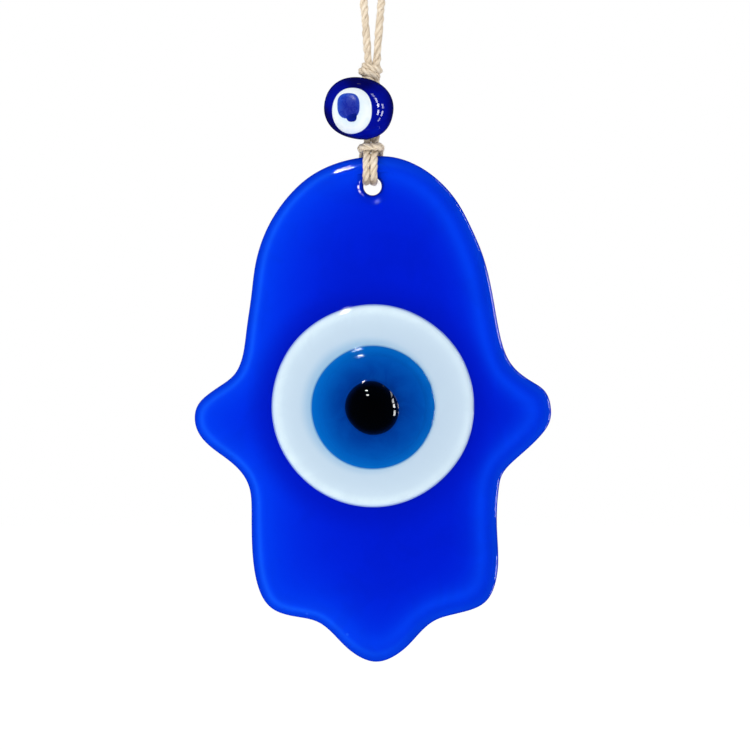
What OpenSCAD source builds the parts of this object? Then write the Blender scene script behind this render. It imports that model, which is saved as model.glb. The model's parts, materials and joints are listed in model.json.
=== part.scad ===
// Evil eye ornament: a hand-shaped glass plate with a fused glass eye, hung by
// a cow hitch on a doubled jute cord that carries a glass eye bead, is knotted
// above the bead and ends in a hanging loop.
// Frame: +Z up, the eye faces -Y. The origin is the centre of the round bight
// at the top of the hanging loop, where the nail or peg goes.

/* [Hand plate] */
// Thickness of the glass plate
plate_t = 5; // [4:0.5:6]
// Radius of the rounded rim on the front
rim_r = 2.2; // [1.5:0.1:2.4]
// Radius of the small rounding on the back edge
back_r = 0.8; // [0.4:0.1:1]
// Diameter of the hole for the cord
hole_d = 4.2; // [4:0.1:5]
// Diameter of the fire-polished dimple round the hole
dimple_d = 7; // [6:0.5:9]

/* [Eye on the plate] */
// Diameter of the white disc
white_d = 40; // [34:1:42]
// Height of the white disc above the plate
white_proud = 1.1; // [0.8:0.1:1.6]
// Diameter of the iris disc
iris_d = 24.5; // [18:0.5:28]
// Height of the iris disc above the white disc
iris_proud = 0.8; // [0.5:0.1:1.2]
// Diameter of the pupil drop
pupil_d = 10.6; // [8:0.2:12]
// Height of the pupil drop above the iris disc
pupil_proud = 1.8; // [1:0.1:2.4]

/* [Bead] */
// Width of the bead
bead_w = 13.8; // [12:0.2:14]
// Height of the bead along its bore
bead_h = 12.2; // [11:0.2:12.4]
// Diameter of the bore through the bead
bore_d = 3.6; // [3.4:0.1:4]
// Lean of the bead's shape, to the right at the top
bead_lean = 12; // [0:1:15]

/* [Cord] */
// Diameter of one strand of the cord
cord_d = 1.5; // [1.3:0.1:1.5]
// Radius of the bight in the hanging loop, on the strand's centre line
bight_r = 3.2; // [3.1:0.1:4]
// Diameter of the knot above the bead
knot_d = 4.2; // [4:0.1:4.2]

/* [Hidden] */
$fn = 64;

// ---- places, all on the plumb line of the cord ----
plate_c  = [0, 0.7, -96.6];     // middle of the hand plate
plate_top = -46.6;              // highest edge of the hand plate
hole_z   = -52.6;               // axis of the plate's hole
eye_z    = -96.4;               // centre of the eye
neck_z   = -44.7;               // where the cord bends between bead and plate
bead_c   = [-2.7, -2.2, -37.3]; // centre of the bead, the bore is at x = y = 0
knot_z   = -30;                 // centre of the knot above the bead
front_y  = plate_c[1] - plate_t / 2;
back_y   = plate_c[1] + plate_t / 2;
cord_r   = cord_d / 2;
pair_x   = cord_r + 0.03;       // half the spacing of two strands side by side

// ---- outline of the hand, clockwise from the top, seen from the front ----
// Control points of a closed cubic B-spline, in millimetres from plate_c.
HAND = [
  [-0.5, 50], [4.5, 50], [9.5, 48], [13.5, 45], [17, 41],
  [19.5, 36], [22, 30.5], [23.5, 24.5], [24.5, 18.5], [25.5, 13],
  [27, 9], [29.5, 6.5], [32, 5], [34.5, 3.5], [35.5, 0.5],
  [35.5, -2.5], [34, -5], [31, -8], [28, -10.5], [25.5, -13],
  [25, -16], [24.5, -22], [25, -28], [25, -33], [23.5, -38],
  [20.5, -40], [16, -41], [12, -42], [9, -45], [6.5, -48],
  [2.5, -50.5], [-1, -50.5], [-5, -48], [-8, -44.5], [-11, -42],
  [-15.5, -41.5], [-19.5, -40.5], [-22, -38], [-23.5, -33], [-24, -27],
  [-24, -21], [-24, -16], [-26, -12.5], [-29, -10], [-32, -8],
  [-34.5, -5.5], [-35.5, -2.5], [-35, 0.5], [-33, 2.5], [-30, 4.5],
  [-27, 6.5], [-25.5, 10.5], [-25, 16], [-24, 22], [-23.5, 28],
  [-22, 33.5], [-19.5, 38.5], [-16, 43], [-12, 46.5], [-6.5, 49]
];

function bs(p, q, r, s, t) =
  (p * pow(1 - t, 3) + q * (3*t*t*t - 6*t*t + 4)
   + r * (-3*t*t*t + 3*t*t + 3*t + 1) + s * t*t*t) / 6;
function closed_spline(P, n) = let (m = len(P))
  [for (i = [0:m-1]) for (k = [0:n-1])
    bs(P[i], P[(i+1) % m], P[(i+2) % m], P[(i+3) % m], k / n)];
function unit(v) = v / max(norm(v), 1e-9);
function rim_normals(Q) = let (m = len(Q))
  [for (i = [0:m-1]) let (d = unit(Q[(i+1) % m] - Q[(i+m-1) % m])) [d[1], -d[0]]];

// Rounded plate: rings of [inset, y] from the back face to the front face.
module rounded_plate(Q, rings, y_back, y_front) {
  m = len(Q);
  N = rim_normals(Q);
  nr = len(rings);
  pts = concat(
    [for (g = rings) for (i = [0:m-1])
      let (q = Q[i] + N[i] * g[0]) [q[0], g[1], q[1]]],
    [[0, y_back, 0], [0, y_front, 0]]);
  sides = [for (k = [0:nr-2]) for (i = [0:m-1]) let (j = (i+1) % m)
    each [[k*m + i, k*m + j, (k+1)*m + j], [k*m + i, (k+1)*m + j, (k+1)*m + i]]];
  back = [for (i = [0:m-1]) [nr*m, (i+1) % m, i]];
  front = [for (i = [0:m-1]) [nr*m + 1, (nr-1)*m + i, (nr-1)*m + (i+1) % m]];
  polyhedron(pts, concat(sides, back, front), convexity = 6);
}

// A turned shape about the Y axis through [0, y, z], its profile given as
// [radius, distance towards the front].
module turned(y, z, profile) {
  translate([0, y, z]) rotate([90, 0, 0]) rotate_extrude() polygon(profile);
}
function corner(r_out, h, r) =
  [for (a = [0:15:90]) [r_out - r + r * cos(a), h - r + r * sin(a)]];

module hand_plate() {
  Q = closed_spline(HAND, 2);
  rings = concat(
    [for (a = [90, 45, 0]) [back_r - back_r * cos(a), plate_t/2 - back_r + back_r * sin(a)]],
    [for (a = [0:22.5:90]) [rim_r - rim_r * cos(a), -plate_t/2 + rim_r - rim_r * sin(a)]]);
  color([0.01, 0.13, 0.88])
  difference() {
    translate(plate_c) rounded_plate(Q, rings, plate_t/2, -plate_t/2);
    // hole for the cord
    translate([0, plate_c[1], hole_z]) rotate([90, 0, 0])
      cylinder(d = hole_d, h = plate_t + 4, center = true);
    // fire-polished dimple round the hole, front and back
    translate([0, front_y, hole_z]) rotate([90, 0, 0])
      rotate_extrude() polygon([[0, -0.7], [hole_d/2, -0.7], [hole_d/2 + 0.5, -0.3],
                                [dimple_d/2, 0], [dimple_d/2, 1], [0, 1]]);
    translate([0, back_y, hole_z]) rotate([-90, 0, 0])
      rotate_extrude() polygon([[0, -0.4], [hole_d/2, -0.4], [hole_d/2 + 0.4, 0],
                                [hole_d/2 + 0.4, 1], [0, 1]]);
    // shallow seat that the white disc melts into
    turned(front_y, eye_z, [[0, -1], [white_d/2, -1], [white_d/2, 3], [0, 3]]);
  }
}

module eye_white() {
  h = white_proud;
  color([0.82, 0.9, 0.96])
  difference() {
    turned(front_y, eye_z, concat([[0, -1], [white_d/2, -1]],
      corner(white_d/2, h, 0.9), [[0, h]]));
    turned(front_y - h, eye_z, [[0, -0.6], [iris_d/2, -0.6], [iris_d/2, 3], [0, 3]]);
  }
}

module eye_iris() {
  y = front_y - white_proud;
  h = iris_proud;
  color([0.0, 0.38, 0.72])
  difference() {
    turned(y, eye_z, concat([[0, -0.6], [iris_d/2, -0.6]],
      corner(iris_d/2, h, 0.6), [[0, h]]));
    turned(y - h, eye_z, [[0, -0.5], [pupil_d/2, -0.5], [pupil_d/2, 3], [0, 3]]);
  }
}

module eye_pupil() {
  y = front_y - white_proud - iris_proud;
  r = pupil_d / 2;
  color([0.01, 0.01, 0.02])
  turned(y, eye_z, concat([[0, -0.5], [r, -0.5]],
    [for (a = [0:10:90]) [r * pow(cos(a), 0.8), pupil_proud * sin(a)]]));
}

// ---- bead ----
// The bead's shape, grown by g, with its lean.
module bead_shape(g) {
  a = bead_w/2 + g;
  b = bead_h/2 + g;
  translate(bead_c) rotate([0, bead_lean, 0]) rotate_extrude()
    polygon([for (t = [-90:7.5:90]) [a * pow(max(cos(t), 0), 0.9), b * sign(t) * pow(abs(sin(t)), 0.95)]]);
}
// A round punch from the bead's centre, aimed left by az and down by el.
module punch(r, az, el) {
  translate(bead_c) rotate([0, 0, -az]) rotate([90 + el, 0, 0]) cylinder(r = r, h = 12);
}

module bead_body() {
  color([0.01, 0.04, 0.58])
  difference() {
    bead_shape(0);
    translate([0, 0, bead_c[2]]) cylinder(d = bore_d, h = 20, center = true);
  }
}
module bead_white() {
  color([0.93, 0.97, 1])
  difference() {
    intersection() { bead_shape(0.4); punch(4.3, 13.5, 7); }
    bead_shape(0);
  }
}
module bead_iris() {
  color([0.06, 0.27, 0.8])
  difference() {
    intersection() { bead_shape(0.7); punch(2.4, 15.5, 0); }
    bead_shape(0.4);
  }
}
module bead_pupil() {
  color([0.0, 0.02, 0.35])
  difference() {
    intersection() { bead_shape(0.95); punch(1.2, 11.5, 10); }
    bead_shape(0.7);
  }
}

// ---- cord ----
function open_spline(P, n) = let (m = len(P),
    E = concat([2*P[0] - P[1]], P, [2*P[m-1] - P[m-2]]))
  concat([for (i = [0:m-2]) for (k = [0:n-1])
    bs(E[i], E[i+1], E[i+2], E[i+3], k / n)], [P[m-1]]);
function cross3(a, b) = cross(a, b);
// Frames carried along the route without twist.
function tangents(P) = let (m = len(P))
  [for (i = [0:m-1]) unit(P[min(i+1, m-1)] - P[max(i-1, 0)])];
function carry(T, i, u) = i >= len(T) ? [] :
  let (v = unit(u - T[i] * (u * T[i]))) concat([v], carry(T, i + 1, v));
module cord_tube(P, r, sides, start) {
  T = tangents(P);
  U = carry(T, 0, start);
  m = len(P);
  pts = [for (i = [0:m-1]) let (W = cross3(T[i], U[i])) for (k = [0:sides-1])
    P[i] + r * (U[i] * cos(360*k/sides) + W * sin(360*k/sides))];
  faces = concat(
    [[for (k = [0:sides-1]) k]],
    [for (i = [0:m-2]) for (k = [0:sides-1]) let (l = (k+1) % sides)
      each [[i*sides + k, (i+1)*sides + l, i*sides + l],
            [i*sides + k, (i+1)*sides + k, (i+1)*sides + l]]],
    [[for (k = [sides-1:-1:0]) (m-1)*sides + k]]);
  polyhedron(pts, faces, convexity = 10);
}
function mirrored(P) = [for (i = [len(P)-1:-1:0]) [-P[i][0], P[i][1], P[i][2]]];

// The hanging loop: up the right strand, over the bight, down the left one.
LOOP_SIDE = [[0.9, 0, -27.7], [1.1, 0, -24], [1.5, 0, -19], [1.9, 0, -14], [2.3, 0, -9], [2.8, 0, -4]];
function loop_route() = concat(LOOP_SIDE,
  [for (a = [0:22.5:180]) [bight_r * cos(a), 0, bight_r * sin(a)]],
  mirrored(LOOP_SIDE));
module hang_loop() {
  color([0.85, 0.75, 0.58]) cord_tube(loop_route(), cord_r, 8, [0, 1, 0]);
}
module end_knot() {
  color([0.82, 0.72, 0.55]) translate([0, 0, bight_r + 0.6]) sphere(d = 4);
}
TAIL = [[0.5, 0, 4.6], [0.9, -0.1, 6], [1.6, -0.3, 7.5], [2.6, -0.4, 9]];
module cord_tails() {
  color([0.85, 0.75, 0.58]) {
    cord_tube(TAIL, cord_r * 0.9, 8, [0, 1, 0]);
    cord_tube([for (p = TAIL) [-p[0] - 0.4, p[1] + 0.2, p[2] - 0.2]], cord_r * 0.9, 8, [0, 1, 0]);
  }
}
module upper_knot() {
  color([0.82, 0.72, 0.55]) translate([0, 0, knot_z]) sphere(d = knot_d);
}
module bead_cord() {
  color([0.85, 0.75, 0.58])
  for (s = [-1, 1]) {
    translate([s * pair_x, 0, neck_z]) sphere(r = cord_r);
    difference() {
      translate([s * pair_x, 0, neck_z]) cylinder(r = cord_r, h = knot_z - neck_z);
      translate([0, 0, knot_z]) sphere(d = knot_d + 0.3);
    }
  }
}

// The cow hitch: from the neck down the front of the plate, back through the
// hole, up its back, over its top edge and across the front as the bight,
// then the same way home. Heights are measured from the plate's top edge.
HITCH_SIDE = [
  [0.8, -0.3, 1], [0.8, -0.9, 0.7], [0.8, -1.9, 0], [0.8, -2.7, -1.2], [0.8, -2.9, -2.4],
  [0.8, -2.9, -3.6], [0.8, -2.8, -4.6], [0.8, -1.9, -5.2], [0.8, -0.6, -5.2],
  [0.8, 0.8, -5.2], [0.8, 2.2, -5.2], [0.8, 3.6, -5.2], [1, 4.4, -4.4], [1.4, 4.4, -3.2],
  [1.9, 4.4, -2], [2.2, 4.3, -0.8], [2.4, 3.9, 0.6], [2.5, 2.9, 1.4], [2.5, 1.7, 1.4],
  [2.6, 0.4, 1.4], [2.6, -0.9, 1.5], [2.4, -2, 1.7], [1.6, -2.5, 1.7], [0.6, -2.5, 1.7]
];
module hitch_cord() {
  half = [for (p = HITCH_SIDE) [p[0], p[1], p[2] + plate_top]];
  color([0.85, 0.75, 0.58])
    cord_tube(open_spline(concat(half, mirrored(half)), 2), cord_r, 8, [1, 0, 0]);
}

hand_plate();
eye_white();
eye_iris();
eye_pupil();
bead_body();
bead_white();
bead_iris();
bead_pupil();
hang_loop();
end_knot();
cord_tails();
upper_knot();
bead_cord();
hitch_cord();
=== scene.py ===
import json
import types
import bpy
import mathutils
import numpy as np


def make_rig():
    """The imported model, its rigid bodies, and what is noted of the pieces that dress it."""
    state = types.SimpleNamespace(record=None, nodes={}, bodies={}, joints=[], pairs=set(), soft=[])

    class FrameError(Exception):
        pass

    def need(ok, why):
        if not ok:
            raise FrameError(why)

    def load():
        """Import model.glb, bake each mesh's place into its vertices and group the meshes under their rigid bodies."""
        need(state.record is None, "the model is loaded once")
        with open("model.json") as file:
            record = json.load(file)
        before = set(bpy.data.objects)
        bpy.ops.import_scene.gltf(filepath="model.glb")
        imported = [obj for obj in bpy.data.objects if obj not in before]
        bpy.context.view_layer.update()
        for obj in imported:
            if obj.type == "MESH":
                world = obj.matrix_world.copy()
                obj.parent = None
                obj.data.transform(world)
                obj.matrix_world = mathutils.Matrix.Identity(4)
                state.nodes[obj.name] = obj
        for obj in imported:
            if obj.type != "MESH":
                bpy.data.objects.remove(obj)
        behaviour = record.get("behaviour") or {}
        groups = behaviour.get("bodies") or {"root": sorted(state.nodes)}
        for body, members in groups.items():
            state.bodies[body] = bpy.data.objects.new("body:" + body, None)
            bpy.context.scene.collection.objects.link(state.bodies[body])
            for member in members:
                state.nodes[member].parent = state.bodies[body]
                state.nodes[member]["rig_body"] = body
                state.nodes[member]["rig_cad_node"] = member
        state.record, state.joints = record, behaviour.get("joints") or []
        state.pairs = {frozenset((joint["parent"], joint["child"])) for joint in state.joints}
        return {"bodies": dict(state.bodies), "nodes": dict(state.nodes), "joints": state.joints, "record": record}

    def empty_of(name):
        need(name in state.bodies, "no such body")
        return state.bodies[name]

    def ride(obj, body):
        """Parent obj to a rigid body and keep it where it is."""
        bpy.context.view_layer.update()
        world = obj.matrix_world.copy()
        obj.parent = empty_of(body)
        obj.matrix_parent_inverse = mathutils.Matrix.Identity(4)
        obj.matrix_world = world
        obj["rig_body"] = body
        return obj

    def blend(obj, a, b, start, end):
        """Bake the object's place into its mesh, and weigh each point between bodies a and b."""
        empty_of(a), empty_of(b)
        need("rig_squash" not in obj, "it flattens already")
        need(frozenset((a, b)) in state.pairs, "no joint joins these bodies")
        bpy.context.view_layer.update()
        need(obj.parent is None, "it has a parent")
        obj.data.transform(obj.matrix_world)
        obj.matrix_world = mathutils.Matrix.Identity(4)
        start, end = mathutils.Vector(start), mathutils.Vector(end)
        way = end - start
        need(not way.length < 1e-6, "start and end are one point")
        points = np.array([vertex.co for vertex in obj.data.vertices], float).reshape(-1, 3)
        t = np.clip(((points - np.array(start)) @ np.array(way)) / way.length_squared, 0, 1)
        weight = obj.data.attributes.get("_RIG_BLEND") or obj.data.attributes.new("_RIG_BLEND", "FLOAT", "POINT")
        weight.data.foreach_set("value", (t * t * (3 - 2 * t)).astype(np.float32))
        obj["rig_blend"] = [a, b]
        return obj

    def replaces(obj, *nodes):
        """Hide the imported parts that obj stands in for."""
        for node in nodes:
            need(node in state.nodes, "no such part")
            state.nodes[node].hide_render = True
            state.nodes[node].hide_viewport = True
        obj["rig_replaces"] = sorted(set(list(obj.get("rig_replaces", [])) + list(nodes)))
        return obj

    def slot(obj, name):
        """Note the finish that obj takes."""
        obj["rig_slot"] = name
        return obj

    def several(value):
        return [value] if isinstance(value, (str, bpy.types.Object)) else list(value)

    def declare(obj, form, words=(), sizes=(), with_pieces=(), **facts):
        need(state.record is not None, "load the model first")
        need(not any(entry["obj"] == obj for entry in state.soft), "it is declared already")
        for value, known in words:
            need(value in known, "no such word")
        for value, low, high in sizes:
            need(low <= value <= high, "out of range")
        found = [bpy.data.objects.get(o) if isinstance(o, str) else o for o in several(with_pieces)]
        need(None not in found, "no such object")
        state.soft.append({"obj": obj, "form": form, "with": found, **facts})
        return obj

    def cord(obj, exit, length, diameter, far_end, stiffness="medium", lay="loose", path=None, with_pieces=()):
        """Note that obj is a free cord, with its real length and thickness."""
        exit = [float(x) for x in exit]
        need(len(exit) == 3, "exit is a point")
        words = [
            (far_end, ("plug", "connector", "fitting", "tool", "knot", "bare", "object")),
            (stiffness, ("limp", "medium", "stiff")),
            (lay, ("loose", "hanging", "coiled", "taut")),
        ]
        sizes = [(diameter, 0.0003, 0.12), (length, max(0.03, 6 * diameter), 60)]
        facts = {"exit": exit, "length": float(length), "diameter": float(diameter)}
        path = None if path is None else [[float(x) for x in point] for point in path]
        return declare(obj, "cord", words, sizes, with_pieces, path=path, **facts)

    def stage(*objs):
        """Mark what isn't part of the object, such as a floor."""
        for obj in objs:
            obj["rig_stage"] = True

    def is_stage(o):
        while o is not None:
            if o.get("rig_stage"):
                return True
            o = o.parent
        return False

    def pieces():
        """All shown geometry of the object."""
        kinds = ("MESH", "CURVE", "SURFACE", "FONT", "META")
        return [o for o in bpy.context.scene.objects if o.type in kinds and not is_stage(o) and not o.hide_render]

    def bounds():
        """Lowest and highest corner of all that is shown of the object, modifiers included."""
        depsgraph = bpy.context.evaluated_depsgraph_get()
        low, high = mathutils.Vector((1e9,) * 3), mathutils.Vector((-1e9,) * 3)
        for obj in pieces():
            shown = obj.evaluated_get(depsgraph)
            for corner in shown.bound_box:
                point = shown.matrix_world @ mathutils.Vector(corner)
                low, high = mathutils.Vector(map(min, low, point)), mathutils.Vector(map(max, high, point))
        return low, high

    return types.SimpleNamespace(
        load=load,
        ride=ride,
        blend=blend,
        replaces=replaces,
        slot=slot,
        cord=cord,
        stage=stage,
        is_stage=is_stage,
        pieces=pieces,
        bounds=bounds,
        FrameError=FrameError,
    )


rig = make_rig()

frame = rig.load()

import json
import math
import bmesh
import bpy
import numpy as np
from mathutils import Vector, geometry

CAD_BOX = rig.bounds()
MM = 0.001
scene = bpy.context.scene

# ---------------------------------------------------------------- camera
cam_data = bpy.data.cameras.new("camera")
cam_data.sensor_width = 36.0
cam_data.lens = 217.7
cam_data.clip_start, cam_data.clip_end = 0.05, 60.0
cam = bpy.data.objects.new("camera", cam_data)
scene.collection.objects.link(cam)
cam.location = (0.0005, -0.9, -0.0901)
cam.rotation_euler = (math.pi / 2, 0.0, 0.0)
scene.camera = cam
scene.view_settings.view_transform = "Standard"

# ---------------------------------------------------------------- sizes, in millimetres, as the CAD has them
CORD_D = 1.5
PAIR_X = CORD_D / 2 + 0.03
BIGHT_R = 3.2
KNOT_Z = -30.0
NECK_Z = -44.7
PLATE_TOP = -46.6
PLATE_C = np.array([0.0, 0.7, -96.6])
FRONT_Y, BACK_Y = -1.8, 3.2
HOLE_Z = -52.6
EYE_Z = -96.4
BEAD_C = np.array([-2.7, -2.2, -37.3])


# ---------------------------------------------------------------- mesh helpers
def unit(v):
    return v / np.maximum(np.linalg.norm(v, axis=-1, keepdims=True), 1e-12)


def smooth01(t):
    t = np.clip(t, 0, 1)
    return t * t * (3 - 2 * t)


def add_mesh(name, verts, faces, material, attributes=(), smooth=True):
    """verts in millimetres; attributes are (name, values per vertex), a number or three."""
    me = bpy.data.meshes.new(name)
    me.from_pydata((np.asarray(verts, float) * MM).tolist(), [], [tuple(int(i) for i in f) for f in faces])
    me.polygons.foreach_set("use_smooth", [smooth] * len(me.polygons))
    for label, values in attributes:
        values = np.asarray(values, np.float32)
        if values.ndim == 1:
            a = me.attributes.new(label, "FLOAT", "POINT")
            a.data.foreach_set("value", values)
        else:
            a = me.attributes.new(label, "FLOAT_VECTOR", "POINT")
            a.data.foreach_set("vector", values.ravel())
    me.validate()
    bm = bmesh.new()
    bm.from_mesh(me)
    bmesh.ops.recalc_face_normals(bm, faces=bm.faces)
    bm.to_mesh(me)
    bm.free()
    me.update()
    ob = bpy.data.objects.new(name, me)
    scene.collection.objects.link(ob)
    me.materials.append(material)
    return ob


def waves(points, seed, scale, octaves=3):
    """Smooth seeded unevenness between about -1 and 1, from sums of sines along random directions."""
    r = np.random.default_rng(seed)
    total = np.zeros(len(points))
    weight = 0.0
    for o in range(octaves):
        for _ in range(5):
            d = unit(r.normal(size=3))
            f = 2 * math.pi / (scale / (1.7 ** o)) * r.uniform(0.75, 1.3)
            total += np.sin(points @ d * f + r.uniform(0, 6.28)) * (0.6 ** o)
        weight += 5 * (0.6 ** o)
    return total / weight * 2.2


def grid_faces(rows, cols, closed=True, offset=0, flip=False):
    out = []
    for j in range(rows - 1):
        for i in range(cols if closed else cols - 1):
            k = (i + 1) % cols
            a, b = offset + j * cols + i, offset + j * cols + k
            c, d = offset + (j + 1) * cols + k, offset + (j + 1) * cols + i
            out.append((a, d, c, b) if flip else (a, b, c, d))
    return out


# ---------------------------------------------------------------- material helpers
class Nodes:
    """A Principled material and short ways to wire procedural nodes into it."""

    def __init__(self, name):
        self.mat = bpy.data.materials.new(name)
        self.mat.use_nodes = True
        self.t = self.mat.node_tree
        self.t.nodes.clear()
        out = self.t.nodes.new("ShaderNodeOutputMaterial")
        self.bsdf = self.t.nodes.new("ShaderNodeBsdfPrincipled")
        self.t.links.new(self.bsdf.outputs[0], out.inputs[0])

    def node(self, kind, **props):
        n = self.t.nodes.new(kind)
        for k, v in props.items():
            setattr(n, k, v)
        return n

    def link(self, a, b):
        self.t.links.new(a, b)

    def attr(self, name, vector=False):
        n = self.node("ShaderNodeAttribute", attribute_name=name)
        return n.outputs["Vector"] if vector else n.outputs["Fac"]

    def place(self):
        return self.node("ShaderNodeTexCoord").outputs["Object"]

    def noise(self, vector, scale, detail=3.0, rough=0.5, distort=0.0):
        n = self.node("ShaderNodeTexNoise")
        n.inputs["Scale"].default_value = scale
        n.inputs["Detail"].default_value = detail
        n.inputs["Roughness"].default_value = rough
        n.inputs["Distortion"].default_value = distort
        self.link(vector, n.inputs["Vector"])
        return n.outputs["Fac"]

    def voronoi(self, vector, scale, feature="F1"):
        n = self.node("ShaderNodeTexVoronoi", feature=feature)
        n.inputs["Scale"].default_value = scale
        self.link(vector, n.inputs["Vector"])
        return n.outputs["Distance"]

    def stretch(self, vector, xyz):
        n = self.node("ShaderNodeVectorMath", operation="MULTIPLY")
        self.link(vector, n.inputs[0])
        n.inputs[1].default_value = xyz
        return n.outputs[0]

    def math(self, op, a, b=None, clamp=False):
        n = self.node("ShaderNodeMath", operation=op, use_clamp=clamp)
        for i, v in enumerate((a, b)):
            if v is None:
                continue
            if isinstance(v, (int, float)):
                n.inputs[i].default_value = v
            else:
                self.link(v, n.inputs[i])
        return n.outputs[0]

    def span(self, value, a, b, c, d, smooth=True):
        n = self.node("ShaderNodeMapRange", interpolation_type="SMOOTHSTEP" if smooth else "LINEAR", clamp=True)
        for i, v in enumerate((value, a, b, c, d)):
            if isinstance(v, (int, float)):
                n.inputs[i].default_value = v
            else:
                self.link(v, n.inputs[i])
        return n.outputs[0]

    def ramp(self, value, stops, interpolation="B_SPLINE"):
        n = self.node("ShaderNodeValToRGB")
        n.color_ramp.interpolation = interpolation
        e = n.color_ramp.elements
        while len(e) < len(stops):
            e.new(0.5)
        for el, (pos, col) in zip(e, stops):
            el.position = pos
        for el, (pos, col) in zip(e, stops):
            el.color = (*col, 1.0)
        self.link(value, n.inputs[0])
        return n.outputs[0]

    def mix(self, factor, a, b, blend="MIX"):
        n = self.node("ShaderNodeMix", data_type="RGBA", blend_type=blend)
        for sock, v in ((n.inputs[0], factor), (n.inputs[6], a), (n.inputs[7], b)):
            if isinstance(v, (int, float)):
                sock.default_value = v
            elif isinstance(v, tuple):
                sock.default_value = (*v, 1.0)
            else:
                self.link(v, sock)
        return n.outputs[2]

    def bump(self, height, strength, distance):
        n = self.node("ShaderNodeBump")
        n.inputs["Strength"].default_value = strength
        n.inputs["Distance"].default_value = distance
        self.link(height, n.inputs["Height"])
        return n.outputs[0]


def lin(r, g, b):
    """A colour written as it looks on screen, 0 to 255, made linear."""
    def one(v):
        v = v / 255.0
        return v / 12.92 if v <= 0.04045 else ((v + 0.055) / 1.055) ** 2.4
    return (one(r), one(g), one(b))


# ---------------------------------------------------------------- materials
GAIN = 0.885


def tint(r, g, b, k=1.0):
    return tuple(min(c * k * GAIN, 0.96) for c in lin(r, g, b))


def cobalt_material():
    m = Nodes("cobalt_glass")
    rim, side = m.attr("rim"), m.attr("side")
    place = m.place()
    swirl = m.noise(place, 38.0, 4.0, 0.5, 1.2)
    rim_inset = m.math("ADD", rim, m.math("MULTIPLY", m.math("SUBTRACT", swirl, 0.5), 0.7))
    rim_inset = m.math("DIVIDE", rim_inset, 20.0)
    # painted light: a lighter band just inside the rim, crisp on the left and broad on the right, over a blue that
    # darkens towards the middle
    crisp = m.ramp(rim_inset, [
        (0.0, tint(2, 52, 208)), (0.025, tint(3, 57, 219)), (0.045, tint(4, 63, 233)), (0.07, tint(13, 84, 249)),
        (0.085, tint(12, 82, 249)), (0.112, tint(2, 59, 239)), (0.16, tint(1, 56, 235)), (0.25, tint(0, 49, 231)),
        (0.40, tint(0, 41, 224)), (0.62, tint(0, 33, 217)), (1.0, tint(0, 25, 206))])
    broad = m.ramp(rim_inset, [
        (0.0, tint(2, 50, 206)), (0.03, tint(4, 62, 222)), (0.06, tint(1, 54, 221)), (0.09, tint(0, 49, 219)),
        (0.125, tint(1, 54, 230)), (0.165, tint(2, 61, 237)), (0.20, tint(1, 56, 231)), (0.25, tint(0, 44, 222)),
        (0.32, tint(0, 35, 215)), (0.46, tint(0, 28, 209)), (1.0, tint(0, 21, 200))])
    # the left side takes the crisp painted light band, the right side the broad one
    body = m.mix(side, broad, crisp)
    cloud = m.span(m.noise(place, 90.0, 3.0, 0.55, 0.6), 0.3, 0.72, 0.94, 1.06)
    body = m.mix(1.0, body, m.mix(cloud, (0.0, 0.0, 0.0), (1.0, 1.0, 1.0)), "MULTIPLY")
    # darker in a band round the eye disc, out to about 6 mm past its edge
    body = m.mix(m.math("MULTIPLY", m.attr("near_eye"), 0.75), body, tint(1, 21, 187))
    # seed bubbles: a few specks just under the surface
    seeds = m.span(m.voronoi(place, 260.0), 0.05, 0.09, 1.0, 0.0)
    few = m.span(m.noise(place, 60.0, 2.0), 0.60, 0.66, 0.0, 1.0)
    body = m.mix(m.math("MULTIPLY", m.math("MULTIPLY", seeds, few), 0.35), body, tint(40, 110, 255))
    # the kiln side is duller and carries a fine grain
    back = m.attr("back")
    grain = m.noise(place, 900.0, 5.0, 0.65)
    press = m.span(m.noise(place, 55.0, 5.0, 0.62, 0.8), 0.40, 0.66, 0.0, 1.0)
    dull = m.mix(m.span(grain, 0.35, 0.7, 0.0, 0.5), tint(1, 26, 170), tint(26, 62, 204))
    dull = m.mix(m.math("MULTIPLY", press, 0.35), dull, tint(40, 78, 206))
    dull = m.mix(m.span(rim, 0.8, 3.2, 0.7, 0.0), dull, tint(2, 44, 206))
    body = m.mix(back, body, dull)
    m.link(body, m.bsdf.inputs["Base Color"])
    smear = m.noise(m.stretch(place, (1.0, 1.0, 0.45)), 120.0, 5.0, 0.6)
    gloss = m.span(smear, 0.35, 0.75, 0.01, 0.03)
    kiln = m.span(grain, 0.3, 0.7, 0.28, 0.5)
    rough = m.mix(back, gloss, kiln)
    m.link(rough, m.bsdf.inputs["Roughness"])
    m.bsdf.inputs["IOR"].default_value = 1.5
    height = m.math("ADD", m.math("MULTIPLY", m.noise(place, 70.0, 2.0, 0.4), 1.0),
                    m.math("MULTIPLY", m.math("MULTIPLY", m.math("ADD", grain, m.math("MULTIPLY", press, 0.6)), back), 1.2))
    m.link(m.bump(height, 0.055, 0.0004), m.bsdf.inputs["Normal"])
    return m.mat


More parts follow.
